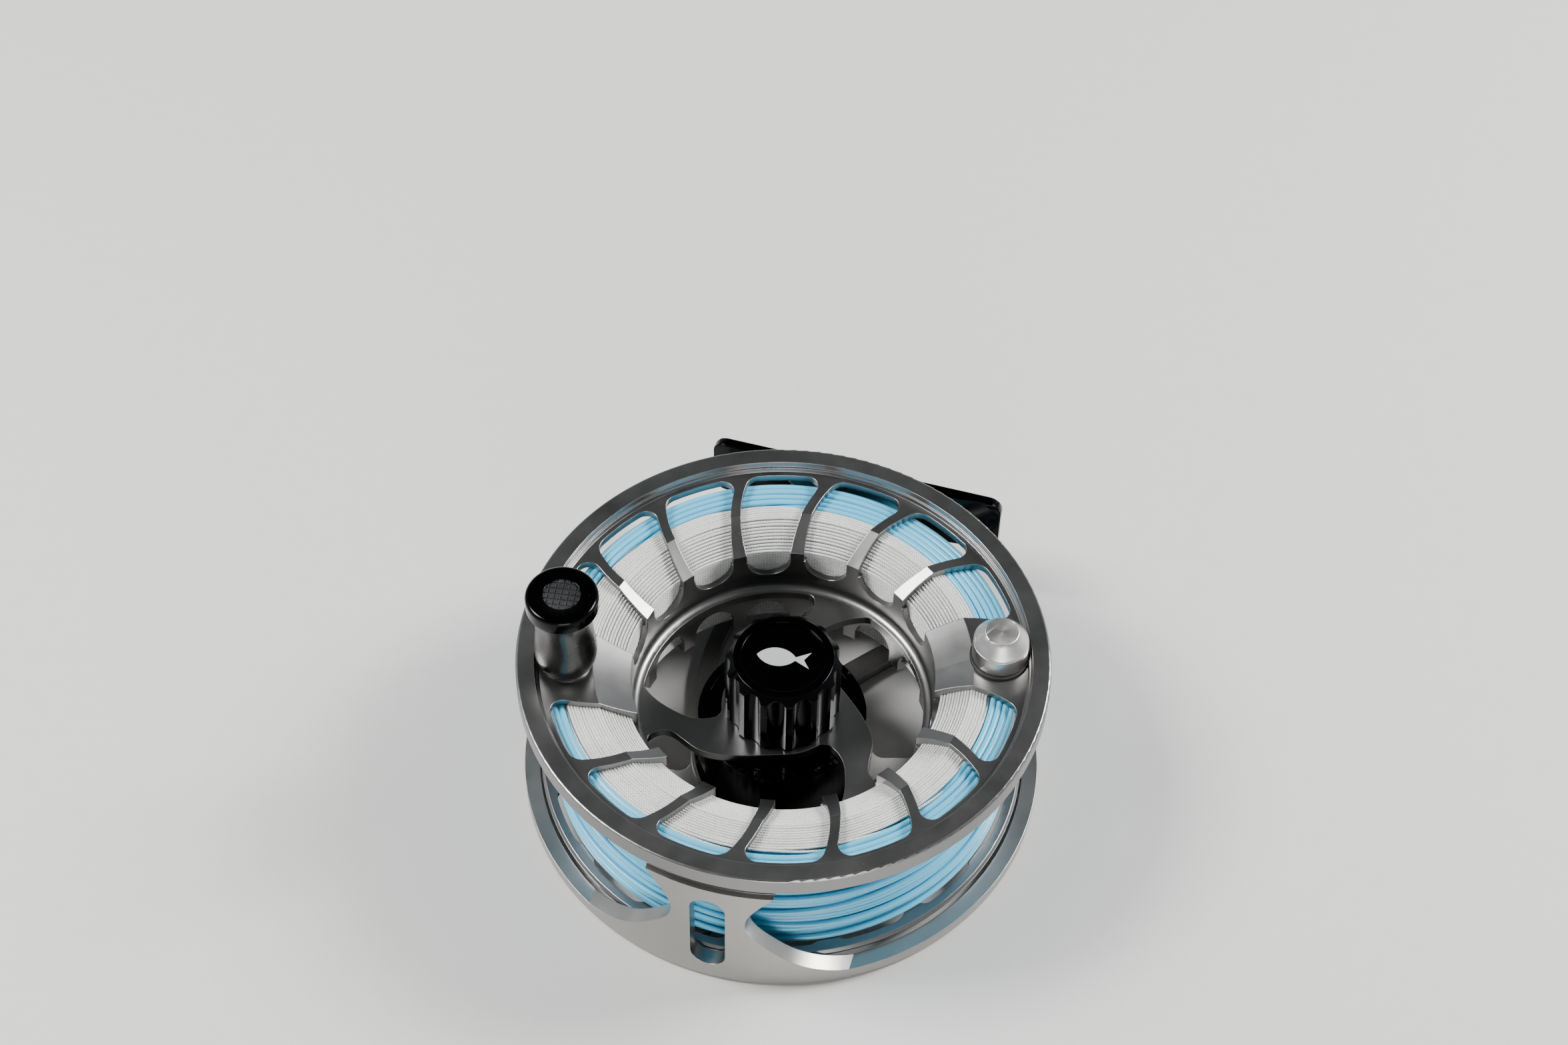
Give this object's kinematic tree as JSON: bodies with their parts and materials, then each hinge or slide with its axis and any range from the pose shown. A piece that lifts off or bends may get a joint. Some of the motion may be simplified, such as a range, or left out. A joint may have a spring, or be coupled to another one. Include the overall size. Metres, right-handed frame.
{
  "type": "fly reel",
  "caption": "Large-arbour fly reel with a windowed palming-rim spool, swirl arms, fluted drag knob, turning handle, line guard and reel foot, wound with fly line.",
  "frame": {"origin": "on the spool axis at the back face of the frame", "axes": "+Z along the spool axis towards the handle side, +Y towards the reel foot, +X to the right seen from the handle side"},
  "size_m": [0.105, 0.1112, 0.0576],
  "materials": {
    "frame_metal": "satin grey anodised aluminium",
    "spool_metal": "satin gunmetal anodised aluminium with bright edges",
    "black_anodise": "gloss black anodised",
    "knob_metal": "gloss black anodised",
    "grip_metal": "dark satin anodised",
    "drum_metal": "machined",
    "steel": "turned",
    "stainless": "turned stainless steel",
    "spring_steel": "blued",
    "bearing_steel": "ground",
    "brass": "turned",
    "rubber": "black",
    "carbon": "woven carbon composite",
    "bush": "bearing plastic",
    "insert": "waffle-cut black",
    "mark": "light grey print",
    "backing": "white braided backing",
    "fly_line": "smooth light-blue coated fly line"
  },
  "bodies": {
    "frame": {"frame": "frame_metal", "reel_foot": "black_anodise", "foot_screws": "steel", "drag_housing": "black_anodise", "drag_lid": "black_anodise", "drag_seal": "rubber", "housing_screws": "steel", "spindle": "steel", "spindle_ring": "rubber", "spindle_nut": "steel", "back_cap": "black_anodise", "fixed_discs": "steel", "pressure_plate": "steel", "drag_spring": "spring_steel"},
    "drag_adjuster": {"push_rod": "steel", "cross_pin": "steel", "thrust_collar": "steel"},
    "drag_rotor": {"drag_drum": "drum_metal", "rotor_discs": "carbon", "clutch_bearing": "bearing_steel", "drive_hub": "steel"},
    "spool_cartridge": {"bearing_sleeve": "brass"},
    "spool": {"spool": "spool_metal", "backing": "backing", "fly_line": "fly_line", "front_bearing": "bearing_steel", "rear_bearing": "bearing_steel", "bearing_circlip": "spring_steel", "handle_post": "steel", "handle_screw": "steel", "counterweight": "stainless", "counterweight_seal": "rubber", "counterweight_screw": "steel"},
    "handle": {"handle_grip": "grip_metal", "handle_bushes": "bush", "handle_cap": "black_anodise", "handle_insert": "insert"},
    "drag_knob": {"knob": "knob_metal", "knob_insert": "brass", "knob_disc": "knob_metal", "knob_mark": "mark"}
  },
  "joints": [
    {"name": "spool_release", "type": "slide", "parent": "frame", "child": "spool_cartridge", "axis": [0, 0, 1], "range_m": [0, 0.04]},
    {"name": "spool_spin", "type": "hinge", "parent": "spool_cartridge", "child": "spool", "pos_m": [0, 0, 0.02], "axis": [0, 0, 1], "continuous": true},
    {"name": "handle_spin", "type": "hinge", "parent": "spool", "child": "handle", "pos_m": [-0.04058, -0.01264, 0.045], "axis": [0, 0, 1], "continuous": true},
    {"name": "drag_knob_turn", "type": "hinge", "parent": "spool_cartridge", "child": "drag_knob", "pos_m": [0, 0, 0.03], "axis": [0, 0, -1], "range_deg": [0, 300]},
    {"name": "drag_rotor_spin", "type": "hinge", "parent": "frame", "child": "drag_rotor", "pos_m": [0, 0, 0.012], "axis": [0, 0, 1], "continuous": true},
    {"name": "drag_press", "type": "slide", "parent": "frame", "child": "drag_adjuster", "axis": [0, 0, -1], "range_m": [0, 0.001], "deforming": ["drag_spring"]}
  ],
  "couplings": [
    {"joint": "drag_rotor_spin", "follows": "spool_spin", "ratio": 1},
    {"joint": "drag_press", "follows": "drag_knob_turn", "m_per_rad": 0.00019098}
  ]
}
